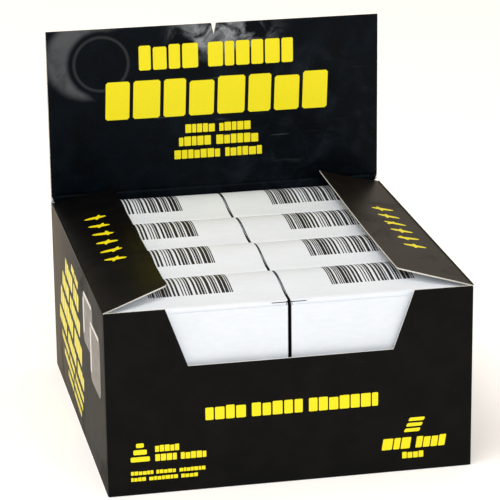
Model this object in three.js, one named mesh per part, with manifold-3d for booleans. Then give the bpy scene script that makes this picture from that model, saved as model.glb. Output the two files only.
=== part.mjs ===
// Counter display box of gymnastics chalk: a folded paperboard tray with two side flaps and a
// double-leaf header, filled with eight small tuck-end cartons that hold one pressed block each.
// Millimetres, +X right, -Y front, +Z up. The origin is on the table, under the middle of the tray.

import * as THREE from 'three';
import { mergeVertices } from 'three/addons/utils/BufferGeometryUtils.js';
import Module from 'manifold-3d';

const wasm = await Module();
wasm.setup();

// Tray
const TRAY_WIDTH = 130;
const TRAY_DEPTH = 137;
const TRAY_HEIGHT = 67;
const BOARD = 0.5;            // printed board of the tray and its header
const SLACK = 0.125;          // clearance between neighbouring boards
const NOTCH_TOP = 87.5;       // width of the front notch at the tray's top edge
const NOTCH_BOTTOM = 72.5;
const NOTCH_DEPTH = 21;
const GLUE_TAB_WIDTH = 14;
const BOTTOM_OVERLAP = 10;    // how far the two long bottom flaps lie over each other
const BOTTOM_SIDE_FLAP = 42;

// Side flaps, folded inward over the cartons
const FLAP_WIDTH = 24.5;
const FLAP_MITRE = 12.5;      // how far the front edge runs back from the crease to the tip
const FLAP_REAR_GAP = 3.5;    // from the tray's back face to the flap's rear edge
const FLAP_RISE = THREE.MathUtils.degToRad(10);
const FLAP_CORNER = 1;

// Header: a back leaf, folded over at the top into a front leaf that ends in a tuck strip
const HEADER_HEIGHT = 67;
const LEAF_GAP = 0.25;
const STRIP_CREASE = 2.25;    // crease of the tuck strip, above the tray's top edge
const STRIP_TUCK = 2;         // how far the strip reaches below the tray's top edge
const STRIP_MITRE = 2;
const NICK_WIDTH = 2;
const NICK_DEPTH = 4.75;

// Cartons
const COLUMNS = 2;
const ROWS = 4;
const CARTON_WIDTH = 63.75;
const CARTON_DEPTH = 32.75;
const CARTON_BOARD = 0.375;
const CARTON_TOP = 66;        // height of the lids' folds above the table
const COLUMN_GAP = 1;
const ROW_GAP = 0.375;
const FRONT_GAP = 1.75;       // between the front panel and the first row
const LID_CREST = 2.5;        // height of the lid's arch
const CREST_RUN = 16;         // the arch reaches full height this far from the outer side
const FOLD_RADIUS = 1.25;
const TUCK_LENGTH = 14;
const TUCK_INSET = 0.625;     // the tuck flap is narrower than the lid by this much each side
const FRONT_WALL_DROP = 1.75; // the front wall's top edge, below the lid's fold
const SIDE_WALL_DROP = 1;
const SLIT_LENGTH = 5;
const SLIT_HEIGHT = 0.35;
const SLIT_DROP = 0.9;        // the slit's lower edge, below the lid's fold
const DUST_FLAP_WIDTH = 15;
const DUST_FLAP_TAPER = 3;    // the flap's free edge is shorter than its crease by this much at each end
const DUST_FLAP_FRONT_GAP = 1.5;
const DUST_FLAP_DROP = 0.5;

// Chalk blocks
const BLOCK_WIDTH = 61.5;
const BLOCK_DEPTH = 30.5;
const BLOCK_HEIGHT = 61;
const BLOCK_BEVEL = 1;

const trayFloor = 3 * BOARD + 3 * SLACK;

const finishes = {
  print: { color: new THREE.Color(0.012, 0.012, 0.014), roughness: 0.3 },
  header: { color: new THREE.Color(0.012, 0.016, 0.024), roughness: 0.3 },
  raw: { color: new THREE.Color(0.75, 0.75, 0.73), roughness: 0.7 },
  carton: { color: new THREE.Color(0.84, 0.88, 0.93), roughness: 0.5 },
  chalk: { color: new THREE.Color(0.93, 0.93, 0.92), roughness: 0.95 },
};

const object = new THREE.Group();

function addMesh(parent, name, geometry, finish) {
  const material = new THREE.MeshStandardMaterial({ ...finish, metalness: 0 });
  const mesh = new THREE.Mesh(geometry, material);
  mesh.name = name;
  parent.add(mesh);
  return mesh;
}

// A board between two opposite corners, given as [x, y, z].
function slab(low, high) {
  const size = high.map((value, axis) => value - low[axis]);
  const geometry = new THREE.BoxGeometry(...size);
  geometry.translate(...high.map((value, axis) => (value + low[axis]) / 2));
  return geometry;
}

// A board cut to an outline in its own plane, from z = 0 to z = thickness.
function cutBoard(outline, thickness) {
  const shape = new THREE.Shape(outline.map(([x, y]) => new THREE.Vector2(x, y)));
  return new THREE.ExtrudeGeometry(shape, { depth: thickness, bevelEnabled: false });
}

// The same board stood up: the outline lies in X and Z, and the thickness runs back from frontY.
function uprightBoard(outline, thickness, frontY) {
  const geometry = cutBoard(outline, thickness);
  geometry.rotateX(Math.PI / 2);
  geometry.translate(0, frontY + thickness, 0);
  return geometry;
}

function toSolid(geometry) {
  const bare = geometry.clone();
  bare.deleteAttribute('normal');
  bare.deleteAttribute('uv');
  const merged = mergeVertices(bare, 1e-4);
  return new wasm.Manifold(new wasm.Mesh({
    numProp: 3,
    vertProperties: new Float32Array(merged.attributes.position.array),
    triVerts: new Uint32Array(merged.index.array),
  }));
}

function toGeometry(solid) {
  const mesh = solid.getMesh();
  const geometry = new THREE.BufferGeometry();
  geometry.setAttribute('position', new THREE.BufferAttribute(mesh.vertProperties, 3));
  geometry.setIndex(new THREE.BufferAttribute(mesh.triVerts, 1));
  geometry.computeVertexNormals();
  return geometry;
}

// A closed skin through sheet sections at rising x, each a loop of [y, z] points of equal count.
function loft(stations, sectionAt) {
  const sections = stations.map(sectionAt);
  const count = sections[0].length;
  const positions = [];
  sections.forEach((section, index) => {
    section.forEach(([y, z]) => positions.push(stations[index], y, z));
  });
  const triangles = [];
  for (let s = 0; s + 1 < stations.length; s += 1) {
    for (let i = 0; i < count; i += 1) {
      const a = s * count + i;
      const b = s * count + (i + 1) % count;
      triangles.push(a, a + count, b, b, a + count, b + count);
    }
  }
  const last = (stations.length - 1) * count;
  for (let i = 0; i + 1 < count / 2; i += 1) {
    const corners = [i, i + 1, count - 2 - i, count - 1 - i];
    for (const [a, b, c] of [[0, 1, 2], [0, 2, 3]].map((picks) => picks.map((pick) => corners[pick]))) {
      triangles.push(a, b, c);
      triangles.push(last + a, last + c, last + b);
    }
  }
  const geometry = new THREE.BufferGeometry();
  geometry.setAttribute('position', new THREE.Float32BufferAttribute(positions, 3));
  geometry.setIndex(triangles);
  geometry.computeVertexNormals();
  return geometry;
}

// The loop around a sheet of the given thickness that follows a path of [y, z] points.
// The sheet lies to the left of the path's direction.
function sheetSection(path, thickness) {
  const inner = path.map(([y, z], i) => {
    const [y0, z0] = path[Math.max(i - 1, 0)];
    const [y1, z1] = path[Math.min(i + 1, path.length - 1)];
    const length = Math.hypot(y1 - y0, z1 - z0);
    return [y - (z1 - z0) / length * thickness, z + (y1 - y0) / length * thickness];
  });
  return [...path, ...inner.reverse()].reverse();
}

function arcPoints(centreY, centreZ, radius, from, to, steps) {
  return Array.from({ length: steps + 1 }, (_, i) => {
    const angle = from + (to - from) * i / steps;
    return [centreY + radius * Math.cos(angle), centreZ + radius * Math.sin(angle)];
  });
}

// Tray panels, glue tab and bottom flaps

const halfWidth = TRAY_WIDTH / 2;
const halfDepth = TRAY_DEPTH / 2;
const insideX = halfWidth - BOARD - SLACK;
const insideY = halfDepth - BOARD - SLACK;

function buildTray() {
  const notchFloor = TRAY_HEIGHT - NOTCH_DEPTH;
  const frontOutline = [
    [-halfWidth, 0], [halfWidth, 0], [halfWidth, TRAY_HEIGHT], [NOTCH_TOP / 2, TRAY_HEIGHT],
    [NOTCH_BOTTOM / 2, notchFloor], [-NOTCH_BOTTOM / 2, notchFloor],
    [-NOTCH_TOP / 2, TRAY_HEIGHT], [-halfWidth, TRAY_HEIGHT],
  ];
  addMesh(object, 'tray_front_panel', uprightBoard(frontOutline, BOARD, -halfDepth), finishes.print);
  const backTop = TRAY_HEIGHT - SLACK;
  const back = slab([-halfWidth, halfDepth - BOARD, 0], [halfWidth, halfDepth, backTop]);
  addMesh(object, 'tray_back_panel', back, finishes.print);
  const sideTop = TRAY_HEIGHT - BOARD - 2 * SLACK;
  for (const [side, name] of [[-1, 'left'], [1, 'right']]) {
    const outer = side * halfWidth;
    const inner = side * (halfWidth - BOARD);
    const low = [Math.min(outer, inner), -insideY, 0];
    const high = [Math.max(outer, inner), insideY, sideTop];
    addMesh(object, `tray_${name}_panel`, slab(low, high), finishes.print);
  }
  const tabLow = [-insideX, insideY - BOARD, trayFloor];
  const tabHigh = [-insideX + GLUE_TAB_WIDTH, insideY, TRAY_HEIGHT - GLUE_TAB_WIDTH / 2];
  addMesh(object, 'tray_glue_tab', slab(tabLow, tabHigh), finishes.raw);

  const level = (index) => index * (BOARD + SLACK);
  const frontFlap = slab([-insideX, -insideY, 0], [insideX, BOTTOM_OVERLAP / 2, BOARD]);
  addMesh(object, 'bottom_front_flap', frontFlap, finishes.print);
  const backFlap = slab([-insideX, -BOTTOM_OVERLAP / 2, level(1)], [insideX, insideY, level(1) + BOARD]);
  addMesh(object, 'bottom_back_flap', backFlap, finishes.print);
  for (const [side, name] of [[-1, 'left'], [1, 'right']]) {
    const outline = [
      [side * insideX, -insideY + SLACK], [side * (insideX - BOTTOM_SIDE_FLAP), -insideY / 2],
      [side * (insideX - BOTTOM_SIDE_FLAP), insideY / 2], [side * insideX, insideY - SLACK],
    ];
    const flap = cutBoard(outline, BOARD);
    flap.translate(0, 0, level(2));
    addMesh(object, `bottom_${name}_flap`, flap, finishes.raw);
  }
}

// Side flaps. Each turns about the outer edge of its side panel.

function buildSideFlaps() {
  for (const [side, name] of [[-1, 'left'], [1, 'right']]) {
    const hinge = new THREE.Group();
    hinge.position.set(side * halfWidth, 0, TRAY_HEIGHT);
    hinge.rotation.y = side * FLAP_RISE;
    const rear = halfDepth - FLAP_REAR_GAP;
    const outline = [
      [2 * SLACK, -insideY], [FLAP_WIDTH - FLAP_CORNER, -insideY + FLAP_MITRE - FLAP_CORNER / 2],
      [FLAP_WIDTH, -insideY + FLAP_MITRE + FLAP_CORNER], [FLAP_WIDTH, rear - FLAP_CORNER],
      [FLAP_WIDTH - FLAP_CORNER, rear], [2 * SLACK, rear + SLACK],
    ].map(([reach, y]) => [-side * reach, y]);
    const flap = cutBoard(outline, BOARD);
    flap.translate(0, 0, -BOARD);
    addMesh(hinge, `side_flap_${name}`, flap, finishes.print);
    object.add(hinge);
  }
}

// Header. It turns about the outer edge of the back panel.

function nickCutter() {
  const top = TRAY_HEIGHT + HEADER_HEIGHT;
  const outline = [[-NICK_WIDTH / 2, top + 1], [0, top - NICK_DEPTH], [NICK_WIDTH / 2, top + 1]];
  const throughBoth = 8;
  return toSolid(uprightBoard(outline, throughBoth, halfDepth - throughBoth / 2));
}

function buildHeader() {
  const top = TRAY_HEIGHT + HEADER_HEIGHT;
  const foldRadius = BOARD + LEAF_GAP / 2;
  const foldCentre = halfDepth - foldRadius;
  const foldZ = top - foldRadius;
  const backLeaf = slab([-halfWidth, halfDepth - BOARD, TRAY_HEIGHT + SLACK], [halfWidth, halfDepth, foldZ - SLACK]);
  const backSolid = toSolid(backLeaf).subtract(nickCutter());
  addMesh(object, 'header_back_leaf', toGeometry(backSolid), finishes.print);

  const leafX = halfWidth - SLACK;
  const creaseZ = TRAY_HEIGHT + STRIP_CREASE;
  const frontFace = foldCentre - foldRadius;
  const path = [
    [frontFace, creaseZ],
    ...arcPoints(foldCentre, foldZ, foldRadius, Math.PI, 0, 8),
  ];
  path.reverse();
  const frontLeaf = loft([-leafX, leafX], () => sheetSection(path, BOARD));
  const frontSolid = toSolid(frontLeaf).subtract(nickCutter());
  addMesh(object, 'header_front_leaf', toGeometry(frontSolid), finishes.header);

  const stripX = leafX - STRIP_MITRE;
  const stripTop = creaseZ - SLACK;
  const stripBottom = TRAY_HEIGHT - STRIP_TUCK;
  const stripOutline = [
    [-stripX, stripTop], [-stripX + STRIP_MITRE, stripBottom],
    [stripX - STRIP_MITRE, stripBottom], [stripX, stripTop],
  ];
  const strip = uprightBoard(stripOutline, BOARD, frontFace);
  addMesh(object, 'header_tuck_strip', strip, finishes.header);
}

// Cartons, each built about the middle of its own footprint with z = 0 at the lid's folds.

const halfCartonWidth = CARTON_WIDTH / 2;
const halfCartonDepth = CARTON_DEPTH / 2;
const cartonBase = trayFloor - CARTON_TOP;

function cartonShell() {
  const outer = slab([-halfCartonWidth, -halfCartonDepth, cartonBase],
    [halfCartonWidth, halfCartonDepth, -DUST_FLAP_DROP]);
  const inset = CARTON_BOARD;
  const inner = slab([-halfCartonWidth + inset, -halfCartonDepth + inset, cartonBase + inset],
    [halfCartonWidth - inset, halfCartonDepth - inset, 1]);
  const frontCut = slab([-halfCartonWidth - 1, -halfCartonDepth - 1, -FRONT_WALL_DROP],
    [halfCartonWidth + 1, -halfCartonDepth + inset + SLACK, 1]);
  const sideCut = slab([-halfCartonWidth - 1, -halfCartonDepth - 1, -SIDE_WALL_DROP],
    [halfCartonWidth + 1, halfCartonDepth - inset, 1]);
  const walls = toSolid(outer).subtract(toSolid(inner));
  return toGeometry(walls.subtract(toSolid(frontCut)).subtract(toSolid(sideCut)));
}

// The lid's height at a share of its depth, 0 at the back fold and 1 at the front fold.
// The crest is a third of the way from the back fold, where the curve's factor of 27/4 makes it full height.
function archHeight(share, crest) {
  return crest * 27 / 4 * share * (1 - share) ** 2;
}

// A lid with its front fold and tuck flap. The arch is flat at the outer side of the tray.
function cartonLid(outerSide) {
  const tuckFace = -halfCartonDepth + CARTON_BOARD + SLACK;
  const foldY = tuckFace + FOLD_RADIUS;
  const run = halfCartonDepth - foldY;
  const bend = arcPoints(foldY, -FOLD_RADIUS, FOLD_RADIUS, Math.PI / 2, Math.PI, 6);
  const archShares = Array.from({ length: 12 }, (_, i) => i / 12);
  const pathAt = (crest) => [
    ...archShares.map((share) => [halfCartonDepth - run * share, archHeight(share, crest)]),
    ...bend,
    [tuckFace, -TUCK_LENGTH],
  ];
  const reaches = [...[0, 0.25, 0.5, 0.75, 1].map((share) => share * CREST_RUN), CARTON_WIDTH];
  const stations = reaches.map((reach) => outerSide * (halfCartonWidth - reach)).sort((a, b) => a - b);
  const sheet = loft(stations, (x) => {
    const reach = halfCartonWidth - outerSide * x;
    return sheetSection(pathAt(LID_CREST * Math.min(reach / CREST_RUN, 1)), CARTON_BOARD);
  });
  const tuckHalf = halfCartonWidth - TUCK_INSET;
  const front = tuckFace - 1;
  const back = foldY + 1;
  let lid = toSolid(sheet);
  for (const side of [-1, 1]) {
    const spanX = (from, to) => [Math.min(side * from, side * to), Math.max(side * from, side * to)];
    const [trimLow, trimHigh] = spanX(tuckHalf, halfCartonWidth + 1);
    const trim = slab([trimLow, front, -TUCK_LENGTH - 1], [trimHigh, back, -DUST_FLAP_DROP]);
    const [slitLow, slitHigh] = spanX(tuckHalf - SLIT_LENGTH, tuckHalf + 1);
    const slit = slab([slitLow, front, -SLIT_DROP], [slitHigh, back, -SLIT_DROP + SLIT_HEIGHT]);
    lid = lid.subtract(toSolid(trim)).subtract(toSolid(slit));
  }
  return toGeometry(lid);
}

function dustFlap(side) {
  const outer = side * halfCartonWidth;
  const inner = side * (halfCartonWidth - DUST_FLAP_WIDTH);
  const front = -halfCartonDepth + DUST_FLAP_FRONT_GAP;
  const back = halfCartonDepth - CARTON_BOARD - 2 * SLACK;
  const outline = [
    [outer, front], [inner, front + DUST_FLAP_TAPER], [inner, back - DUST_FLAP_TAPER], [outer, back],
  ];
  const flap = cutBoard(side > 0 ? outline : outline.reverse(), CARTON_BOARD);
  flap.translate(0, 0, -SIDE_WALL_DROP + SLACK);
  return flap;
}

function chalkBlock() {
  const x = BLOCK_WIDTH / 2 - BLOCK_BEVEL;
  const y = BLOCK_DEPTH / 2 - BLOCK_BEVEL;
  const shape = new THREE.Shape([[-x, -y], [x, -y], [x, y], [-x, y]].map(([a, b]) => new THREE.Vector2(a, b)));
  const block = new THREE.ExtrudeGeometry(shape, {
    depth: BLOCK_HEIGHT - 2 * BLOCK_BEVEL,
    bevelThickness: BLOCK_BEVEL,
    bevelSize: BLOCK_BEVEL,
    bevelSegments: 2,
  });
  block.translate(0, 0, cartonBase + CARTON_BOARD + 2 * SLACK + BLOCK_BEVEL);
  return block;
}

function buildCartons() {
  const firstRow = -halfDepth + BOARD + FRONT_GAP + halfCartonDepth;
  for (let row = 0; row < ROWS; row += 1) {
    for (let column = 0; column < COLUMNS; column += 1) {
      const side = column === 0 ? -1 : 1;
      const label = `${row + 1}_${column === 0 ? 'left' : 'right'}`;
      const carton = new THREE.Group();
      const x = side * (COLUMN_GAP + CARTON_WIDTH) / 2;
      carton.position.set(x, firstRow + row * (CARTON_DEPTH + ROW_GAP), CARTON_TOP);
      addMesh(carton, `carton_${label}_shell`, cartonShell(), finishes.carton);
      addMesh(carton, `carton_${label}_lid`, cartonLid(side), finishes.carton);
      addMesh(carton, `carton_${label}_inner_dust_flap`, dustFlap(-side), finishes.carton);
      addMesh(carton, `carton_${label}_outer_dust_flap`, dustFlap(side), finishes.carton);
      addMesh(carton, `chalk_block_${label}`, chalkBlock(), finishes.chalk);
      object.add(carton);
    }
  }
}

buildTray();
buildSideFlaps();
buildHeader();
buildCartons();

export default object;
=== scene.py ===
"""Visual model of a counter display box of gymnastics chalk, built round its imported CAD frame.

Shapes are written in millimetres, +X right, -Y front, +Z up, and become metres when a mesh is made.
Every board is a closed sheet: its outline, holes and printed areas are cut in the flat board's own
(u, v) coordinates, then bent into place through a surface function.
"""

import math
import random

import bmesh
import bpy
from mathutils import Matrix, Vector, noise
from mathutils.geometry import delaunay_2d_cdt


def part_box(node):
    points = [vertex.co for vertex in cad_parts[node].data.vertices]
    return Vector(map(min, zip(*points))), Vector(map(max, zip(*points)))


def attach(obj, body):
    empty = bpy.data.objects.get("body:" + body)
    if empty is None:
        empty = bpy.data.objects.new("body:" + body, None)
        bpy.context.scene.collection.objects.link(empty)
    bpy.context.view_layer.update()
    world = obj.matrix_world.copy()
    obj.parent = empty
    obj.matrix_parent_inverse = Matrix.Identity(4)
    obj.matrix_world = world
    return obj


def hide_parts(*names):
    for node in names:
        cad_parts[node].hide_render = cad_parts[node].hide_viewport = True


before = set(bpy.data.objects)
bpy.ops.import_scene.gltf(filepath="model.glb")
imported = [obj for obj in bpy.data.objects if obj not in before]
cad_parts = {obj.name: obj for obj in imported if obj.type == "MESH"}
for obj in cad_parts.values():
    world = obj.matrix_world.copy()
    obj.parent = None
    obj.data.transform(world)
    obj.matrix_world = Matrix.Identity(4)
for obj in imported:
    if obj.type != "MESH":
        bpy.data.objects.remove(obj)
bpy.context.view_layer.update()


# ---------------------------------------------------------------- sizes

MM = 0.001


def corners_of(node):
    """The lowest and highest corner of a CAD node, in millimetres."""
    return [[value / MM for value in corner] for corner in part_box(node)]


# Boards
BOARD = 0.5                  # printed board of the tray, flaps and header
CARTON_BOARD = 0.375
PANEL_STEP = 4.0             # grid spacing on flat boards

# Tray
HALF_WIDTH, _, RIM = corners_of("tray_front_panel")[1]
HALF_DEPTH = corners_of("tray_back_panel")[1][1]
CORNER_RADIUS = 0.7          # rounding of the vertical corners
SEAM_GAP = 0.05              # between the left panel's rear edge and the back panel
SIDE_TOP = RIM - 0.55        # the panels' top edges, just under the creases
BACK_TOP = RIM - 0.3
NOTCH_TOP_HALF = 43.75
NOTCH_BOTTOM_HALF = 36.25
NOTCH_DEPTH = 21.0

# Side flaps
FLAP_WIDTH = 24.5
FLAP_START = 0.1             # from the crease's axis to the board's edge
FLAP_MITRE = 12.5
FLAP_CORNER = 1.0
FLAP_RISE = math.radians(10)
FLAP_CREASE_RADIUS = 0.3
RIGHT_FLAP_WARP = 2.2        # how far the right flap's rear inner corner is sprung up

# Header sheet. v runs up the back leaf, over the fold, down the front leaf and the tuck strip.
LEAF_FOOT = 0.125            # the back leaf starts this far above the tray's rim
HEADER_FRONT = corners_of("header_front_leaf")[0][1]
HEADER_CREASE_Z = corners_of("header_front_leaf")[0][2]
HEADER_TOP = corners_of("header_front_leaf")[1][2]
STRIP_BOTTOM = corners_of("header_tuck_strip")[0][2]
HEADER_CREASE_RADIUS = 0.25
FOLD_RADIUS = (HALF_DEPTH - HEADER_FRONT) / 2
FOLD_Z = HEADER_TOP - FOLD_RADIUS
FOLD_LENGTH = math.pi * FOLD_RADIUS
BACK_RUN = FOLD_Z - RIM - LEAF_FOOT      # v where the fold starts
FRONT_RUN = BACK_RUN + FOLD_LENGTH       # v where the fold ends and the front leaf starts
CREASE_V = FRONT_RUN + FOLD_Z - HEADER_CREASE_Z
STRIP_END = CREASE_V + HEADER_CREASE_Z - STRIP_BOTTOM
NICK_HALF_WIDTH = 1.0
NICK_REACH = 5.1             # from the middle of the fold down each leaf

# Carton lids
CARTON_TOP = 66.0            # height of the lids' folds
LID_FOLD_RADIUS = 1.25
LID_CREST = 2.5
LID_LEAN = 0.12              # how unevenly a lid may arch from one side to the other
CREST_RUN = 16.0             # the arch reaches full height this far from the tray's side
TUCK_LENGTH = 14.0
TUCK_INSET = 0.625
TUCK_CORNER = 2.0
SLIT_LENGTH = 5.0
SLIT_HEIGHT = 0.35
BARCODE_WIDTH = 29.6
BARCODE_REACH = 0.71         # share of the lid's depth that the bars cover, from the back fold
BARCODE_MARGIN = 0.6         # from the back fold to the bars
INK_SPREAD = 0.25            # how much wider each bar prints, as a share of the narrowest one

# Inks and painted colours, as numbers in a sheet's prints; the side panels' ground and the tab shapes' grey
# are painted reflection. Each sheet gives its own list of ink materials.
YELLOW, WHITE, TAB_REFLECTION, SIDE_SHEEN = 1, 2, 3, 4
BARS = 1


# ---------------------------------------------------------------- materials

class Graph:
    """A material's node tree, with one short call per node."""

    def __init__(self, name):
        self.material = bpy.data.materials.new(name)
        self.material.use_nodes = True
        self.tree = self.material.node_tree
        self.shader = self.tree.nodes["Principled BSDF"]

    def set(self, socket, value):
        """Links value to the socket, or sets it where it is a plain number or colour."""
        if isinstance(value, bpy.types.NodeSocket):
            self.tree.links.new(value, socket)
        else:
            socket.default_value = value

    def surface(self, **inputs):
        for name, value in inputs.items():
            self.set(self.shader.inputs[name.replace("_", " ")], value)

    def coordinates(self, kind="Object", scale=(1, 1, 1), turn=0.0):
        source = self.tree.nodes.new("ShaderNodeTexCoord")
        mapping = self.tree.nodes.new("ShaderNodeMapping")
        self.set(mapping.inputs["Vector"], source.outputs[kind])
        self.set(mapping.inputs["Scale"], scale)
        self.set(mapping.inputs["Rotation"], (0, 0, turn))
        return mapping.outputs["Vector"]

    def axes(self, vector):
        node = self.tree.nodes.new("ShaderNodeSeparateXYZ")
        self.set(node.inputs[0], vector)
        return node.outputs

    def noise(self, size_mm, detail=4, roughness=0.55, vector=None, distortion=0.0):
        node = self.tree.nodes.new("ShaderNodeTexNoise")
        self.set(node.inputs["Vector"], vector or self.coordinates())
        self.set(node.inputs["Scale"], 1 / (size_mm * MM))
        self.set(node.inputs["Detail"], detail)
        self.set(node.inputs["Roughness"], roughness)
        self.set(node.inputs["Distortion"], distortion)
        return node.outputs["Fac"]

    def math(self, operation, a, b=0.0, clamp=False):
        node = self.tree.nodes.new("ShaderNodeMath")
        node.operation = operation
        node.use_clamp = clamp
        self.set(node.inputs[0], a)
        self.set(node.inputs[1], b)
        return node.outputs[0]

    def add(self, a, b):
        return self.math("ADD", a, b)

    def times(self, a, b):
        return self.math("MULTIPLY", a, b)

    def less(self, a, b):
        """a less b, never under zero."""
        return self.math("SUBTRACT", a, b, True)

    def remap(self, value, from_low, from_high, to_low=0.0, to_high=1.0):
        node = self.tree.nodes.new("ShaderNodeMapRange")
        node.interpolation_type = "SMOOTHSTEP"
        for socket, number in zip(node.inputs, (value, from_low, from_high, to_low, to_high)):
            self.set(socket, number)
        return node.outputs[0]

    def mix(self, share, a, b):
        node = self.tree.nodes.new("ShaderNodeMix")
        node.data_type = "RGBA"
        self.set(node.inputs["Factor"], share)
        self.set(node.inputs[6], (*a, 1) if isinstance(a, tuple) else a)
        self.set(node.inputs[7], (*b, 1) if isinstance(b, tuple) else b)
        return node.outputs[2]

    def bump(self, height, distance_mm, strength=1.0):
        node = self.tree.nodes.new("ShaderNodeBump")
        self.set(node.inputs["Strength"], strength)
        self.set(node.inputs["Distance"], distance_mm * MM)
        self.set(node.inputs["Height"], height)
        return node.outputs["Normal"]


def laminate(name, dark, light, specular, roughness=0.3, rear=None):
    """Printed board under a gloss film: faint mottling, rubbed patches and a fine orange-peel surface.
    The rear colour is a painted warm reflection that the board takes towards the back of the tray."""
    graph = Graph(name)
    mottle = graph.remap(graph.noise(9, 5), 0.35, 0.7)
    rubbed = graph.remap(graph.noise(26, 6, 0.65, distortion=0.8), 0.52, 0.75)
    specks = graph.remap(graph.noise(0.7, 2), 0.74, 0.8)
    colour = graph.mix(mottle, dark, light)
    colour = graph.mix(graph.times(specks, 0.25), colour, (0.25, 0.25, 0.24))
    # Painted reflection: a warm brown mixed in more and more towards the back of the tray.
    if rear:
        rear_sheen_share = graph.remap(graph.axes(graph.coordinates())[1], -20 * MM, 75 * MM)
        colour = graph.mix(graph.times(rear_sheen_share, graph.remap(mottle, 0, 1, 0.75, 1.0)), colour, rear)
    grain = graph.add(graph.times(graph.noise(1.5, 3), 0.05), roughness)
    graph.surface(Base_Color=colour, Roughness=graph.add(graph.times(rubbed, 0.16), grain),
                  Specular_IOR_Level=specular, Normal=graph.bump(graph.noise(2.2, 3), 0.02, 0.5))
    return graph.material


def ink(name, colour, worn, roughness=0.38, specular=0.25):
    """Printed ink, with slight thin spots where the board shows through."""
    graph = Graph(name)
    thin = graph.remap(graph.noise(1.6, 5, 0.7), 0.55, 0.85)
    graph.surface(Base_Color=graph.mix(graph.times(thin, 0.5), colour, worn),
                  Roughness=graph.remap(graph.noise(4, 3), 0.2, 0.8, roughness - 0.06, roughness + 0.08),
                  Specular_IOR_Level=specular, Normal=graph.bump(graph.noise(2.2, 3), 0.02, 0.4))
    return graph.material


def paper(name, colour, shade, fibre_mm, roughness, bump_mm, gap_shadow=None):
    """Bare or coated paperboard with long fibres along one direction. The optional dark colour is a painted
    shadow that the board takes inside the narrow gap between the two columns of cartons, on the tray's middle
    line."""
    graph = Graph(name)
    fibres = graph.noise(fibre_mm, 5, 0.7, graph.coordinates(scale=(0.25, 1, 1)))
    share = graph.add(graph.times(fibres, 0.6), graph.times(graph.noise(14, 3), 0.4))
    colour = graph.mix(graph.remap(share, 0.3, 0.75), colour, shade)
    # Painted shadow: darker within about 0.6 to 0.7 mm of the tray's middle line.
    if gap_shadow:
        from_middle = graph.math("ABSOLUTE", graph.axes(graph.coordinates())[0])
        colour = graph.mix(graph.remap(from_middle, 0.58 * MM, 0.72 * MM, 1.0, 0.0), colour, gap_shadow)
    graph.surface(Base_Color=colour,
                  Roughness=graph.remap(fibres, 0.2, 0.8, roughness - 0.07, roughness + 0.05),
                  Specular_IOR_Level=0.3, Normal=graph.bump(fibres, bump_mm, 0.6))
    return graph.material


def header_picture():
    """The header's dark picture: a dim crescent, a thin ring, dust drifting from the nick, faint strokes.
    It is placed in the header sheet's own (u, v), with v = FRONT_RUN at the front leaf's upper edge."""
    graph = Graph("header_art")
    flat = graph.coordinates("UV")
    across, down, _ = graph.axes(flat)

    def patch(x, below_top, inner, outer, stretch=1.0):
        """1 inside the inner radius, falling to 0 at the outer one. stretch flattens it."""
        dx = graph.math("SUBTRACT", across, x * MM)
        dy = graph.times(graph.math("SUBTRACT", down, (FRONT_RUN + below_top) * MM), stretch)
        distance = graph.math("SQRT", graph.add(graph.times(dx, dx), graph.times(dy, dy)))
        return graph.remap(distance, inner * MM, outer * MM, 1.0, 0.0)

    smoke = graph.noise(11, 8, 0.62, flat, 0.7)
    grain = graph.noise(0.9, 4, 0.7, flat)
    streaks = graph.noise(2.4, 2, 0.5, graph.coordinates("UV", (0.09, 1, 1), math.radians(32)))
    crescent = graph.less(patch(-50, 11, 13, 17), patch(-44, 13, 12, 14.5))
    crescent = graph.times(crescent, graph.remap(smoke, 0.2, 0.62, 0.35, 1.0))
    ring = graph.less(patch(-44, 13, 10.5, 11.5), patch(-44, 13, 9.6, 10.4))
    dust = graph.times(patch(4, 3, 3, 26, 1.9), graph.remap(smoke, 0.42, 0.66))
    haze = graph.times(patch(30, 40, 10, 60), graph.remap(smoke, 0.42, 0.85))
    strokes = graph.times(graph.remap(streaks, 0.66, 0.76), patch(10, 22, 20, 55))

    colour = graph.mix(graph.remap(smoke, 0.3, 0.8), (0.0003, 0.0014, 0.0030), (0.0012, 0.0046, 0.0088))
    layers = (
        (haze, 0.10, (0.10, 0.13, 0.17)),
        (strokes, 0.16, (0.25, 0.29, 0.33)),
        (dust, 0.9, (0.42, 0.46, 0.50)),
        (crescent, 0.9, (0.085, 0.095, 0.105)),
        (ring, 0.5, (0.05, 0.055, 0.06)),
        (graph.remap(grain, 0.55, 0.8), 0.03, (0.4, 0.42, 0.45)),
    )
    for mask, strength, tint in layers:
        colour = graph.mix(graph.times(mask, strength), colour, tint)
    graph.surface(Base_Color=colour, Roughness=graph.remap(smoke, 0.2, 0.8, 0.30, 0.42),
                  Specular_IOR_Level=0.06, Normal=graph.bump(graph.noise(2.2, 3), 0.02, 0.5))
    return graph.material


def pressed_chalk():
    """Dry white chalk with fine crumbs and small pits; the pits' darker colour is painted shade."""
    graph = Graph("pressed_chalk")
    crumbs = graph.noise(0.8, 8, 0.75)
    pits = graph.remap(graph.noise(2.6, 6, 0.7), 0.58, 0.7)
    # Painted shade: the pits are darker.
    colour = graph.mix(graph.times(pits, 0.6), (0.86, 0.86, 0.84), (0.7, 0.7, 0.68))
    relief = graph.math("SUBTRACT", crumbs, graph.times(pits, 0.7))
    graph.surface(Base_Color=colour, Roughness=graph.remap(crumbs, 0.2, 0.8, 0.88, 0.98),
                  Specular_IOR_Level=0.15, Normal=graph.bump(relief, 0.2))
    return graph.material


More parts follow.
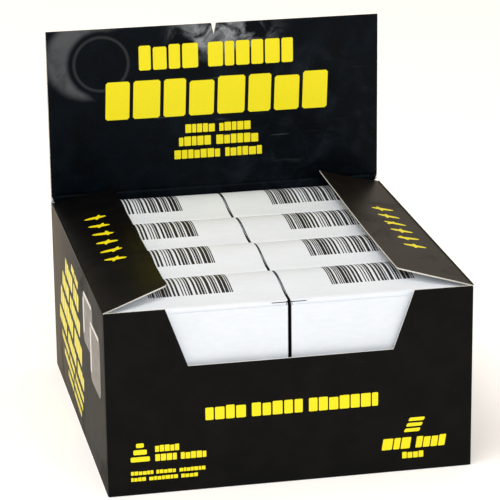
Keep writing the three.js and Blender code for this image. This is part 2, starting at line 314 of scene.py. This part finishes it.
def white_floor():
    graph = Graph("floor_white")
    graph.surface(Base_Color=graph.mix(graph.noise(60, 2), (0.93, 0.93, 0.93), (0.95, 0.95, 0.95)),
                  Roughness=0.9, Specular_IOR_Level=0.05,
                  Emission_Color=(1, 1, 1, 1), Emission_Strength=0.28)
    return graph.material


CARTON_WHITE = (0.80, 0.87, 0.97)
CARTON_SHADE = (0.74, 0.81, 0.91)

black_laminate = laminate("black_laminate", (0.0016, 0.0016, 0.0019), (0.0036, 0.0034, 0.0034), 0.075)
# The side panels' warm brown is painted reflection of a warm surround on black board.
side_sheen_laminate = laminate("side_sheen_laminate", (0.010, 0.0078, 0.0056), (0.019, 0.0150, 0.0108), 0.022,
                         roughness=0.42, rear=(0.085, 0.065, 0.040))
# The right flap's warmer, lighter brown is painted reflection on black board.
flap_sheen_laminate = laminate("flap_sheen_laminate", (0.0052, 0.0042, 0.0032), (0.0090, 0.0074, 0.0056), 0.14,
                           roughness=0.36)
header_art = header_picture()
yellow_ink = ink("yellow_ink", (0.90, 0.80, 0.008), (0.60, 0.52, 0.02))
white_ink = ink("white_ink", (0.70, 0.70, 0.70), (0.40, 0.40, 0.40))
# Grey for the left panel's tab shapes: painted reflection on black board.
painted_tab_reflection = ink("painted_tab_reflection", (0.16, 0.145, 0.13), (0.10, 0.09, 0.08))
bar_ink = ink("bar_ink", (0.012, 0.012, 0.014), (0.05, 0.05, 0.05), 0.5, 0.2)
raw_board = paper("raw_board", (0.80, 0.80, 0.79), (0.62, 0.61, 0.58), 0.6, 0.88, 0.06)
carton_board = paper("carton_board", CARTON_WHITE, CARTON_SHADE, 1.1, 0.52, 0.02)
# carton_wall carries a painted shadow in the gap between the two columns of cartons.
carton_wall = paper("carton_wall", CARTON_WHITE, CARTON_SHADE, 1.1, 0.52, 0.02, gap_shadow=(0.03, 0.03, 0.035))
chalk = pressed_chalk()


# ---------------------------------------------------------------- board sheets

def clamp(value, low=0.0, high=1.0):
    return min(max(value, low), high)


def spaced(low, high, step):
    """Evenly spaced values from low to high, no further apart than step."""
    count = max(1, math.ceil((high - low) / step - 1e-6))
    return [low + (high - low) * i / count for i in range(count + 1)]


def joined(*runs):
    """Runs of values that each start where the last one ends, as one list without repeats."""
    return [value for run in runs[:-1] for value in run[:-1]] + runs[-1]


def counterclockwise(loop):
    area = sum(a[0] * b[1] - b[0] * a[1] for a, b in zip(loop, loop[1:] + loop[:1]))
    return list(loop) if area > 0 else list(loop)[::-1]


def cut_at_lines(loop, columns, rows):
    """The loop with a point added wherever an edge crosses a grid line, so that edges bend with the board."""
    points = []
    for start, end in zip(loop, loop[1:] + loop[:1]):
        shares = {0.0}
        for axis, lines in ((0, columns), (1, rows)):
            span = end[axis] - start[axis]
            if abs(span) > 1e-6:
                shares.update((line - start[axis]) / span for line in lines)
        kept = []
        for share in sorted(s for s in shares if -1e-9 <= s < 1 - 1e-4):
            if not kept or share - kept[-1] > 1e-4:
                kept.append(share)
        points += [(start[0] + (end[0] - start[0]) * s, start[1] + (end[1] - start[1]) * s) for s in kept]
    return points


def cut_flat_board(outline, prints, holes, columns, rows):
    """Triangulates a flat board. Returns its points, and each triangle with its ink, 0 where it has none."""
    first_hole = 1 + len(prints)
    points, faces = [], []
    for loop in [outline] + [loop for _, loop in prints] + list(holes):
        cut = cut_at_lines(counterclockwise(loop), columns, rows)
        faces.append(list(range(len(points), len(points) + len(cut))))
        points += [Vector(p) for p in cut]
    points += [Vector((u, v)) for u in columns for v in rows]
    flat, _, triangles, _, _, sources = delaunay_2d_cdt(points, [], faces, 1, 1e-5)
    kept = []
    for triangle, source in zip(triangles, sources):
        top = max(source, default=0)
        if 0 in source and top < first_hole:
            kept.append((triangle, prints[top - 1][0] if top else 0))
    return flat, kept


def board_sheet(name, outline, columns, rows, surface, thickness, materials, prints=(), holes=(),
                creased=lambda place: False):
    """A closed board. materials are (outside, raw edge, inside, then one for each ink that prints use);
    prints are (ink number, loop) pairs, and surface maps (u, v) to a point and its outward normal.
    An edge that is creased at both its ends is a fold into the next panel, so it is printed, not raw."""
    outside, raw_edge, inside = 0, 1, 2
    flat, triangles = cut_flat_board(outline, prints, holes, columns, rows)
    mesh = bmesh.new()
    uv_layer = mesh.loops.layers.uv.new("flat_board")
    skins = {0: {}, thickness: {}}

    def corner(index, depth):
        skin = skins[depth]
        if index not in skin:
            point, normal = surface(*flat[index])
            skin[index] = mesh.verts.new((point - normal * depth) * MM)
        return skin[index]

    def add_face(corners, material, smooth):
        """corners are (index in flat, depth) pairs."""
        face = mesh.faces.new([corner(index, depth) for index, depth in corners])
        face.material_index = material
        face.smooth = smooth
        for loop, (index, _) in zip(face.loops, corners):
            loop[uv_layer].uv = flat[index] * MM
        return face

    rim = {}
    for triangle, ink_number in triangles:
        add_face([(i, 0) for i in triangle], inside + ink_number if ink_number else outside, True)
        add_face([(i, thickness) for i in reversed(triangle)], inside, True)
        for a, b in zip(triangle, triangle[1:] + triangle[:1]):
            if (b, a) in rim:
                del rim[(b, a)]
            else:
                rim[(a, b)] = True
    for a, b in rim:
        material = outside if creased(flat[a]) and creased(flat[b]) else raw_edge
        wall = add_face([(b, 0), (a, 0), (a, thickness), (b, thickness)], material, False)
        for edge in wall.edges:
            edge.smooth = False
    bmesh.ops.recalc_face_normals(mesh, faces=mesh.faces)
    data = bpy.data.meshes.new(name)
    mesh.to_mesh(data)
    mesh.free()
    for material in materials:
        data.materials.append(material)
    piece = bpy.data.objects.new(name, data)
    bpy.context.scene.collection.objects.link(piece)
    return piece


def add_crease(piece, start, end, radius, sides=12, taper=0.3, end_share=0.55):
    """Adds a closed round bead along a crease, in the piece's first material, so that the fold is soft."""
    start, end = Vector(start), Vector(end)
    length = (end - start).length
    along = (end - start).normalized()
    side = along.orthogonal().normalized()
    up = along.cross(side)
    turns = [2 * math.pi * i / sides for i in range(sides)]
    mesh = bmesh.new()
    mesh.from_mesh(piece.data)
    rings = []
    for distance, share in ((0.0, end_share), (taper, 1.0), (length - taper, 1.0), (length, end_share)):
        middle = start + along * distance
        rings.append([mesh.verts.new((middle + (side * math.cos(t) + up * math.sin(t)) * radius * share) * MM)
                      for t in turns])
    for low, high in zip(rings, rings[1:]):
        for i in range(sides):
            j = (i + 1) % sides
            mesh.faces.new((low[i], low[j], high[j], high[i])).smooth = True
    mesh.faces.new(rings[0][::-1])
    mesh.faces.new(rings[-1])
    bmesh.ops.recalc_face_normals(mesh, faces=mesh.faces)
    mesh.to_mesh(piece.data)
    mesh.free()


# ---------------------------------------------------------------- print shapes, as loops

def block(left, right, low, high, slant=0.0, corner=0.3):
    """A slanted block with cut corners."""
    c = min(corner, (right - left) / 3, (high - low) / 3)
    outline = [(left + c, low), (right - c, low), (right, low + c), (right, high - c),
               (right - c, high), (left + c, high), (left, high - c), (left, low + c)]
    return [(x + slant * (y - low), y) for x, y in outline]


def rounded(left, right, low, high, radius, steps=4):
    """A rectangle with round corners."""
    middles = ((right - radius, low + radius, -90), (right - radius, high - radius, 0),
               (left + radius, high - radius, 90), (left + radius, low + radius, 180))
    outline = []
    for x, y, first in middles:
        for i in range(steps + 1):
            angle = math.radians(first + 90 * i / steps)
            outline.append((x + radius * math.cos(angle), y + radius * math.sin(angle)))
    return outline


def moved(loops, place):
    """The loops with every point put through place(x, y)."""
    return [[place(x, y) for x, y in loop] for loop in loops]


def turned(loops, degrees, centre=(0, 0)):
    turn = Matrix.Rotation(math.radians(degrees), 2)
    middle = Vector(centre)
    return moved(loops, lambda x, y: tuple(turn @ (Vector((x, y)) - middle) + middle))


def leaf(centre, half_length, half_width, degrees, corners=14):
    """A pointed oval mark, turned by degrees."""
    turns = [2 * math.pi * i / corners for i in range(corners)]
    outline = [(half_length * math.cos(t), half_width * math.sin(t)) for t in turns]
    return moved(turned([outline], degrees), lambda x, y: (x + centre[0], y + centre[1]))[0]


def word(left, right, low, high, count, seed, slant=0.0, gap=0.16):
    """A word as plain blocks of uneven width and height, which stand for letters without being any."""
    dice = random.Random(seed)
    widths = [dice.uniform(0.75, 1.25) for _ in range(count)]
    unit = (right - left - slant * (high - low)) / (sum(widths) + gap * (count - 1))
    loops, x = [], left
    for width in widths:
        top = high - (high - low) * dice.choice((0, 0, 0.08))
        loops.append(block(x, x + width * unit, low, top, slant, 0.05 * (high - low)))
        x += (width + gap) * unit
    return loops


def text_line(left, right, low, high, shares, letter_share, seed, slant=0.0):
    """A line of words. shares are the (start, end) of each word as shares of the line, and
    letter_share is a block's width as a share of its height."""
    loops = []
    for number, (start, end) in enumerate(shares):
        from_x = left + (right - left) * start
        to_x = left + (right - left) * end
        count = max(2, round((to_x - from_x) / ((high - low) * letter_share)))
        loops += word(from_x, to_x, low, high, count, seed + number, slant)
    return loops


def text_lines(lines, slant=0.0):
    """Several lines, each given as what text_line takes."""
    return [loop for line in lines for loop in text_line(*line, slant)]


# ---------------------------------------------------------------- tray

def wrap_path():
    """Walks the tray's outside from the back left corner, past the front, to the same corner.
    Returns a function from path length to position and normal, and the length where each stretch starts."""
    r = CORNER_RADIUS
    quarter = math.pi * r / 2
    rear = HALF_DEPTH - BOARD - SEAM_GAP
    stretches = [
        ("line", rear + HALF_DEPTH - r, Vector((-HALF_WIDTH, rear)), -90),
        ("arc", quarter, Vector((-HALF_WIDTH + r, -HALF_DEPTH + r)), 180),
        ("line", 2 * HALF_WIDTH - 2 * r, Vector((-HALF_WIDTH + r, -HALF_DEPTH)), 0),
        ("arc", quarter, Vector((HALF_WIDTH - r, -HALF_DEPTH + r)), 270),
        ("line", 2 * HALF_DEPTH - 2 * r, Vector((HALF_WIDTH, -HALF_DEPTH + r)), 90),
        ("arc", quarter, Vector((HALF_WIDTH - r, HALF_DEPTH - r)), 0),
        ("line", 2 * HALF_WIDTH - r, Vector((HALF_WIDTH - r, HALF_DEPTH)), 180),
    ]
    starts = [0.0]
    for _, length, _, _ in stretches:
        starts.append(starts[-1] + length)

    def at(u):
        number = max(i for i in range(len(stretches)) if i == 0 or u >= starts[i] - 1e-7)
        kind, _, origin, degrees = stretches[number]
        distance = u - starts[number]
        angle = math.radians(degrees)
        if kind == "line":
            heading = Vector((math.cos(angle), math.sin(angle)))
            return origin + heading * distance, Vector((heading.y, -heading.x))
        angle += distance / r
        normal = Vector((math.cos(angle), math.sin(angle)))
        return origin + normal * r, normal

    return at, starts


path_at, panel_starts = wrap_path()
LEFT_START, LEFT_END, FRONT_START, FRONT_END, RIGHT_START, RIGHT_END, BACK_START, WRAP_END = panel_starts
PANEL_BELLIES = ((LEFT_START, LEFT_END, 0.35), (FRONT_START, FRONT_END, 0.45),
                 (RIGHT_START, RIGHT_END, 0.35), (BACK_START, WRAP_END, 0.1))


def panel_bow(u, v, start, end, belly):
    """A panel's slight outward belly and waviness, none at its corners or near the creases above."""
    across = math.sin(math.pi * (u - start) / (end - start))
    up = math.sin(math.pi * min(v / RIM, 1.0) * 0.85)
    wave = 0.12 * noise.noise(Vector((u / 38, v / 30, belly * 7)))
    fade = clamp((RIM - 1 - v) / 10)
    return (belly * up + wave) * across * fade


def wrap_surface(u, v):
    flat, normal = path_at(u)
    for start, end, belly in PANEL_BELLIES:
        if start < u < end:
            flat = flat + normal * panel_bow(u, v, start, end, belly)
    return Vector((flat.x, flat.y, v)), Vector((normal.x, normal.y, 0))


def front_place(x, z):
    return FRONT_START + x + HALF_WIDTH - CORNER_RADIUS, z


def left_place(forward, z):
    """forward is the distance from the tray's middle towards its front."""
    return HALF_DEPTH - BOARD - SEAM_GAP + forward, z


def side_sheen_grounds():
    """The duller ground of the two side panels, laid under their prints; its warm brown is painted reflection
    on black board.
    """
    return [(SIDE_SHEEN, [(start, 0), (end, 0), (end, SIDE_TOP), (start, SIDE_TOP)])
            for start, end in ((LEFT_START, LEFT_END), (RIGHT_START, RIGHT_END))]


def front_prints():
    """A main line in the middle, a mark with small lines at the left, and a plain emblem at the right."""
    loops = text_lines((
        (-30.5, 30.8, 25.6, 30.6, ((0, 0.232), (0.266, 0.56), (0.596, 1)), 0.72, 3),
        (-48.3, -39.9, 15.4, 17.8, ((0, 1),), 0.75, 11),
        (-48.3, -30.4, 12.0, 14.5, ((0, 0.42), (0.5, 1)), 0.75, 12),
        (-56.9, -30.8, 7.3, 8.7, ((0, 0.3), (0.34, 0.6), (0.65, 1)), 1.0, 13),
        (-56.9, -33.5, 5.0, 6.4, ((0, 0.22), (0.27, 0.7), (0.75, 1)), 1.0, 14),
    ))
    loops += text_line(32.2, 55.7, 8.4, 12.6, ((0, 0.46), (0.52, 1)), 0.75, 15, slant=0.15)
    loops += text_line(39.7, 47.4, 4.7, 7.1, ((0, 1),), 0.8, 16)
    loops += [block(*sides) for sides in ((-56.9, -50.2, 12.2, 14.0), (-55.9, -51.2, 14.8, 16.6),
                                          (-54.9, -52.2, 17.4, 19.0))]
    loops += [block(*sides, slant=0.4) for sides in ((40.2, 45.8, 14.6, 15.9), (41.0, 46.6, 16.6, 17.9),
                                                     (41.8, 47.4, 18.6, 19.9))]
    return [(YELLOW, loop) for loop in moved(loops, front_place)]


def left_prints():
    """A tilted cluster of lines, and two overlapping rounded shapes with light rims nearer the front; the
    shapes' grey is painted reflection.
    """
    loops = text_lines((
        (-14, 4, 57.5, 60.5, ((0, 0.45), (0.52, 1)), 0.8, 30),
        (-31, 6, 49.0, 55.5, ((0, 0.55), (0.62, 1)), 0.72, 31),
        (-40, 9, 40.5, 46.5, ((0, 0.38), (0.44, 1)), 0.72, 32),
        (-46, 13, 30.5, 38.0, ((0, 0.6), (0.66, 1)), 0.72, 33),
        (-50, 17, 22.5, 28.0, ((0, 0.3), (0.35, 0.7), (0.75, 1)), 0.72, 34),
        (-44, 15, 17.0, 19.8, ((0, 0.34), (0.38, 0.6), (0.65, 1)), 0.85, 35),
        (-38, 12, 12.2, 15.0, ((0, 0.5), (0.55, 1)), 0.85, 36),
        (-28, 8, 7.6, 10.2, ((0, 0.4), (0.46, 1)), 0.85, 37),
    ), slant=0.1)
    prints = [(YELLOW, loop) for loop in moved(turned(loops, -6, (-18, 35)), left_place)]
    # Painted reflection: each tab's grey face is lighter than the black panel around it.
    for left, right, low, high in ((19, 42, 41, 60), (35, 58, 31.5, 54)):
        shape = rounded(left, right, low, high, 3.5)
        top_rim = block(left + 1.5, right - 2.5, high - 1.7, high - 0.3, 0, 0.6)
        rear_rim = block(left + 0.3, left + 3.2, low + 3, high - 2.5, 0, 0.7)
        loops = moved((shape, top_rim, rear_rim), left_place)
        prints += zip((TAB_REFLECTION, WHITE, WHITE), loops)
    return prints


def build_tray():
    """The four panels as one board, wrapped round with rounded corners and the front notch."""
    notch = [front_place(x, z) for x, z in ((NOTCH_TOP_HALF, RIM), (NOTCH_BOTTOM_HALF, RIM - NOTCH_DEPTH),
                                            (-NOTCH_BOTTOM_HALF, RIM - NOTCH_DEPTH), (-NOTCH_TOP_HALF, RIM))]
    left_step = FRONT_START - 0.25
    right_step = FRONT_END + 0.25
    outline = [(0, 0), (WRAP_END, 0), (WRAP_END, BACK_TOP), (BACK_START, BACK_TOP), (BACK_START, SIDE_TOP),
               (right_step, SIDE_TOP), (right_step, RIM), *notch, (left_step, RIM), (left_step, SIDE_TOP),
               (0, SIDE_TOP)]
    columns = joined(*(spaced(start, end, CORNER_RADIUS / 3 if number % 2 else PANEL_STEP)
                       for number, (start, end) in enumerate(zip(panel_starts, panel_starts[1:]))))
    tray = board_sheet("tray_wrap", outline, columns, spaced(0, SIDE_TOP, PANEL_STEP), wrap_surface, BOARD,
                       (black_laminate, raw_board, raw_board, yellow_ink, white_ink, painted_tab_reflection, side_sheen_laminate),
                       side_sheen_grounds() + front_prints() + left_prints(),
                       creased=lambda place: SIDE_TOP - 0.01 < place.y < RIM - 0.01)
    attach(tray, "tray")
    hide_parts("tray_front_panel", "tray_back_panel", "tray_left_panel", "tray_right_panel")


# ---------------------------------------------------------------- side flaps

def flap_marks(first_y, last_y, near, far, side):
    """Six small marks in a row along a flap, each a long leaf shape crossed by a short one.
    near and far are the row's edges across the flap."""
    dice = random.Random(60)
    middle = (near + far) / 2
    half = (far - near) / 2
    prints = []
    for number in range(6):
        y = first_y + (last_y - first_y) * number / 5
        slant = side * dice.uniform(-4, 22)
        reach = dice.uniform(-0.1, 0.5) * half
        prints.append((YELLOW, leaf((middle, y), half, 1.25, slant)))
        prints.append((YELLOW, leaf((middle + reach, y), 2.7, 0.75, slant + 90 + dice.uniform(-30, 30))))
    return prints


def build_side_flap(side, warp, ground, marks):
    """side is -1 for the left flap. u runs from the crease to the flap's free edge, v along the tray."""
    name = "left" if side < 0 else "right"
    low, high = corners_of(f"side_flap_{name}")
    front, back = low[1], high[1]
    cut = 0.6 * FLAP_CORNER
    outline = [(FLAP_START, front), (FLAP_WIDTH - cut, front + FLAP_MITRE - cut),
               (FLAP_WIDTH, front + FLAP_MITRE + cut), (FLAP_WIDTH, back - FLAP_CORNER),
               (FLAP_WIDTH - FLAP_CORNER, back), (FLAP_START, back)]

    def surface(u, v):
        toward_rear = clamp((v + 40) / 105) ** 2
        wave = 0.15 * noise.noise(Vector((u / 15, v / 25, side)))
        lift = (warp * toward_rear * (u / FLAP_WIDTH) ** 2 + wave) * min(u / 6, 1.0)
        x = side * (HALF_WIDTH - u * math.cos(FLAP_RISE))
        z = RIM + u * math.sin(FLAP_RISE) + lift
        return Vector((x, v, z)), Vector((side * math.sin(FLAP_RISE), 0, math.cos(FLAP_RISE)))

    flap = board_sheet(f"side_flap_{name}_board", outline, [FLAP_START] + spaced(1.0, FLAP_WIDTH, 2.5),
                       spaced(front, back, PANEL_STEP), surface, BOARD,
                       (ground, raw_board, raw_board, yellow_ink), flap_marks(*marks, side),
                       creased=lambda place: place.x < FLAP_START + 0.01)
    crease_x = side * HALF_WIDTH
    add_crease(flap, (crease_x, front + 0.2, RIM), (crease_x, back - 0.1, RIM), FLAP_CREASE_RADIUS)
    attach(flap, f"{name}_flap")
    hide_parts(f"side_flap_{name}")


# ---------------------------------------------------------------- header

def header_surface(u, v):
    wave = abs(0.10 * noise.noise(Vector((u / 30, v / 26, 5.0))))
    if v <= BACK_RUN:
        fade = min(v / 8, 1.0) * min((BACK_RUN - v) / 6, 1.0)
        return Vector((u, HALF_DEPTH + wave * fade, RIM + LEAF_FOOT + v)), Vector((0, 1, 0))
    if v <= FRONT_RUN:
        angle = (v - BACK_RUN) / FOLD_RADIUS
        normal = Vector((0, math.cos(angle), math.sin(angle)))
        return Vector((u, HALF_DEPTH - FOLD_RADIUS, FOLD_Z)) + normal * FOLD_RADIUS, normal
    fade = min((v - FRONT_RUN) / 6, 1.0) * clamp((CREASE_V - v) / 8)
    dent = 0.18 * math.exp(-((v - CREASE_V) / 0.45) ** 2)
    return Vector((u, HEADER_FRONT - wave * fade + dent, FOLD_Z - (v - FRONT_RUN))), Vector((0, -1, 0))


def header_place(x, z):
    return x, FRONT_RUN + FOLD_Z - z


def header_prints():
    """Two large lines and three small ones, centred on the front leaf."""
    loops = text_line(-29.4, -6.3, 117.0, 126.7, ((0, 1),), 0.60, 51)
    loops += text_line(-2.4, 31.1, 117.0, 126.7, ((0, 1),), 0.60, 52)
    loops += word(-43, 45, 98.0, 113.0, 8, 53, slant=0.04)
    loops += text_lines((
        (-11.8, 14.0, 91.1, 94.5, ((0, 0.45), (0.52, 1)), 0.75, 54),
        (-14.4, 17.0, 85.9, 89.6, ((0, 0.4), (0.47, 1)), 0.75, 55),
        (-16.3, 18.4, 80.8, 84.3, ((0, 0.52), (0.58, 1)), 0.75, 56),
    ))
    return [(YELLOW, loop) for loop in moved(loops, header_place)]


def build_header():
    """Back leaf, top fold, front leaf and tuck strip as one board, with the nick cut through the fold."""
    half = HALF_WIDTH - 0.125
    strip_half = half - 3
    right_side = [(HALF_WIDTH, 0), (HALF_WIDTH, BACK_RUN), (half, FRONT_RUN), (half, CREASE_V),
                  (half - 0.9, CREASE_V + 2.3), (strip_half, STRIP_END)]
    outline = right_side + [(-x, v) for x, v in reversed(right_side)]
    middle = (BACK_RUN + FRONT_RUN) / 2
    nick = [(-NICK_HALF_WIDTH, middle), (0, middle - NICK_REACH), (NICK_HALF_WIDTH, middle),
            (0, middle + NICK_REACH)]
    rows = joined(spaced(0, BACK_RUN, PANEL_STEP), spaced(BACK_RUN, FRONT_RUN, FOLD_LENGTH / 8),
                  spaced(FRONT_RUN, CREASE_V - 1.2, PANEL_STEP), spaced(CREASE_V - 1.2, CREASE_V + 1.2, 0.3),
                  [CREASE_V + 1.2, STRIP_END])
    header = board_sheet("header_sheet", outline, spaced(-HALF_WIDTH, HALF_WIDTH, PANEL_STEP), rows,
                         header_surface, BOARD, (header_art, raw_board, raw_board, yellow_ink),
                         header_prints(), [nick], creased=lambda place: place.y < 0.01)
    bead = HALF_WIDTH - 0.2
    add_crease(header, (-bead, HALF_DEPTH, RIM), (bead, HALF_DEPTH, RIM), HEADER_CREASE_RADIUS)
    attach(header, "header")
    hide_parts("header_back_leaf", "header_front_leaf", "header_tuck_strip")


# ---------------------------------------------------------------- cartons

def bar_pattern():
    """An invented bar pattern: (left, right) of each bar as shares of the code's width."""
    dice = random.Random(8)
    runs = [1, 1, 1] + [dice.choice((1, 1, 2, 2, 3)) for _ in range(47)] + [1, 1, 1]
    total = sum(runs)
    bars, position = [], 0
    for number, run in enumerate(runs):
        if number % 2 == 0:
            bars.append((position / total, (position + run + INK_SPREAD) / total))
        position += run
    return bars


def bar_prints(middle, reach):
    """The bars across a lid, from just in front of its back fold to v = reach."""
    left = middle - BARCODE_WIDTH / 2
    prints = []
    for start, end in bar_pattern():
        x0 = left + BARCODE_WIDTH * start
        x1 = left + BARCODE_WIDTH * end
        prints.append((BARS, [(x0, BARCODE_MARGIN), (x1, BARCODE_MARGIN), (x1, reach), (x0, reach)]))
    return prints


def build_lid(label, outer_side, seed):
    """A lid whose arch differs a little from its neighbours'. v runs from the back fold, over the arch
    and the front fold, to the tuck flap's lower edge."""
    low, high = corners_of(f"carton_{label}_lid")
    dice = random.Random(seed)
    middle = (low[0] + high[0]) / 2
    half = (high[0] - low[0]) / 2
    back, front = high[1], low[1]
    fold_y = front + LID_FOLD_RADIUS
    run = back - fold_y
    bend = math.pi / 2 * LID_FOLD_RADIUS
    tuck_end = run + bend + TUCK_LENGTH - LID_FOLD_RADIUS
    crest = LID_CREST * dice.uniform(0.86, 1.0)
    lean = dice.uniform(-LID_LEAN, LID_LEAN)

    def arch(u, share):
        """Height over the folds; 27/4 makes the curve's top, a third of the way forward, full height."""
        from_side = half - outer_side * (u - middle)
        full = crest * (1 + lean * (u - middle) / half) * min(from_side / CREST_RUN, 1.0)
        return full * 27 / 4 * share * (1 - share) ** 2

    def surface(u, v):
        if v <= run:
            share = v / run
            slope = (arch(u, min(share + 0.01, 1.0)) - arch(u, max(share - 0.01, 0.0))) / (0.02 * run)
            return Vector((u, back - v, CARTON_TOP + arch(u, share))), Vector((0, slope, 1)).normalized()
        if v <= run + bend:
            angle = (v - run) / LID_FOLD_RADIUS
            normal = Vector((0, -math.sin(angle), math.cos(angle)))
            return Vector((u, fold_y, CARTON_TOP - LID_FOLD_RADIUS)) + normal * LID_FOLD_RADIUS, normal
        return Vector((u, front, CARTON_TOP - LID_FOLD_RADIUS - (v - run - bend))), Vector((0, -1, 0))

    tuck_half = half - TUCK_INSET
    shoulder = run + bend * 0.45
    right_side = [(half, 0), (half, shoulder), (tuck_half, shoulder + 0.35),
                  (tuck_half, tuck_end - TUCK_CORNER), (tuck_half - TUCK_CORNER, tuck_end)]
    outline = [(middle + x, v) for x, v in right_side] + [(middle - x, v) for x, v in reversed(right_side)]
    slit_low = run + bend * 0.62
    slit_high = slit_low + SLIT_HEIGHT
    slits = []
    for side in (-1, 1):
        inner = middle + side * (tuck_half - SLIT_LENGTH)
        outer = middle + side * (tuck_half + 1)
        slits.append([(inner, slit_low), (outer, slit_low), (outer, slit_high), (inner, slit_high)])
    rows = joined(spaced(0, run, run / 12), spaced(run, run + bend, bend / 6), [run + bend, tuck_end])
    lid = board_sheet(f"carton_{label}_lid_board", outline, spaced(middle - half, middle + half, PANEL_STEP),
                      rows, surface, CARTON_BOARD, (carton_board, carton_wall, carton_board, bar_ink),
                      bar_prints(middle, run * BARCODE_REACH), slits)
    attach(lid, "tray")
    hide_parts(f"carton_{label}_lid")


def finish_cad_nodes():
    """Gives each CAD node that stays in view its procedural material."""
    # The carton shells take carton_wall, with its painted shadow in the column gap.
    finishes = {"printed_board": black_laminate, "header_print": black_laminate, "raw_board": raw_board,
                "carton_board": carton_wall, "chalk": chalk}
    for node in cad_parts.values():
        for slot in node.material_slots:
            slot.material = finishes.get(slot.material.name, raw_board)


# ---------------------------------------------------------------- studio

def area_light(name, location, target, size, power, colour=(1, 1, 1)):
    light = bpy.data.lights.new(name, "AREA")
    light.shape = "RECTANGLE"
    light.size, light.size_y = size
    light.energy = power
    light.color = colour
    lamp = bpy.data.objects.new(name, light)
    lamp.location = location
    lamp.rotation_euler = (Vector(target) - Vector(location)).to_track_quat("-Z", "Y").to_euler()
    bpy.context.scene.collection.objects.link(lamp)


def build_lights():
    area_light("key", (-0.5, -0.5, 1.6), (0, 0, 0.05), (0.9, 0.9), 12)
    area_light("front_fill", (0.3, -1.8, 0.9), (0, 0, 0.06), (1.4, 0.8), 8.3)
    area_light("rear_left", (-1.1, 1.0, 0.5), (-0.065, 0.03, 0.04), (0.7, 0.5), 3, (1, 0.86, 0.70))


def build_floor():
    """A wide pale floor, a hair under the object."""
    mesh = bmesh.new()
    corners = ((-3.0, -3.0), (3.0, -3.0), (3.0, 2.4), (-3.0, 2.4))
    mesh.faces.new([mesh.verts.new((x, y, 0.0)) for x, y in corners])
    data = bpy.data.meshes.new("floor")
    mesh.to_mesh(data)
    mesh.free()
    data.materials.append(white_floor())
    floor = bpy.data.objects.new("floor", data)
    floor.location.z = -0.0003
    bpy.context.scene.collection.objects.link(floor)


def build_world():
    """White behind the object, and a dimmer warm surround for light and reflections."""
    world = bpy.data.worlds.new("studio")
    world.use_nodes = True
    tree = world.node_tree
    path = tree.nodes.new("ShaderNodeLightPath")
    mix = tree.nodes.new("ShaderNodeMix")
    mix.data_type = "RGBA"
    tree.links.new(path.outputs["Is Camera Ray"], mix.inputs["Factor"])
    mix.inputs[6].default_value = (0.62, 0.545, 0.45, 1)
    mix.inputs[7].default_value = (1, 1, 1, 1)
    tree.links.new(mix.outputs[2], tree.nodes["Background"].inputs["Color"])
    bpy.context.scene.world = world


def build_camera(azimuth=-11.37, elevation=17.78, roll=-0.684, distance=0.933, target=(-0.00032, 0, 0.0635)):
    """A long lens from a little left of the front, looking down. Angles are in degrees."""
    turn, tilt = math.radians(azimuth), math.radians(elevation)
    away = Vector((math.sin(turn) * math.cos(tilt), -math.cos(turn) * math.cos(tilt), math.sin(tilt)))
    data = bpy.data.cameras.new("camera")
    data.lens = 182.7
    data.sensor_width = 36
    data.clip_start = 0.01
    camera = bpy.data.objects.new("camera", data)
    camera.location = Vector(target) + away * distance
    aim = (-away).to_track_quat("-Z", "Y").to_matrix()
    camera.rotation_euler = (aim @ Matrix.Rotation(math.radians(roll), 3, "Z")).to_euler()
    bpy.context.scene.collection.objects.link(camera)
    bpy.context.scene.camera = camera


build_camera()
build_tray()
build_side_flap(-1, 0.0, black_laminate, (34.7, -16.0, 8.4, 16.8))
# The right flap's ground carries painted reflection.
build_side_flap(1, RIGHT_FLAP_WARP, flap_sheen_laminate, (22.0, -25.0, 5.3, 13.9))
build_header()
for row in range(1, 5):
    build_lid(f"{row}_left", -1, row)
    build_lid(f"{row}_right", 1, 10 + row)
finish_cad_nodes()
build_floor()
build_world()
build_lights()
bpy.context.scene.view_settings.view_transform = "Standard"
